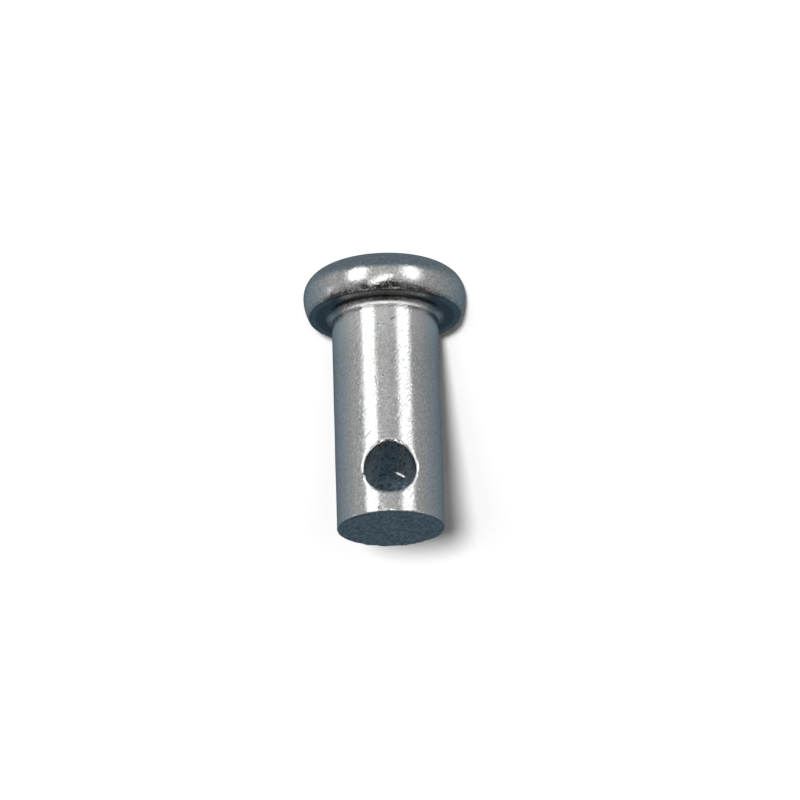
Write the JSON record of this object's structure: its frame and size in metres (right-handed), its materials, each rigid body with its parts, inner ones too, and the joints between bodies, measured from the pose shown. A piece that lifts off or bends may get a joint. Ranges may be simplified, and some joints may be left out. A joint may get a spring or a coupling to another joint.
{
  "type": "clevis pin",
  "caption": "Headed clevis pin: a plain round shank with a thick rounded head and a cross hole near its free end for a split ring or cotter.",
  "frame": {"origin": "centre of the head's flat top, on which the pin stands", "axes": "+Z along the pin's axis towards the shank's free end, Y along the cross hole, X across both"},
  "size_m": [0.0076, 0.0076, 0.0126],
  "materials": {
    "steel": "satin, with fine handling scratches"
  },
  "bodies": {
    "root": {"clevis_pin": "steel"}
  },
  "joints": []
}
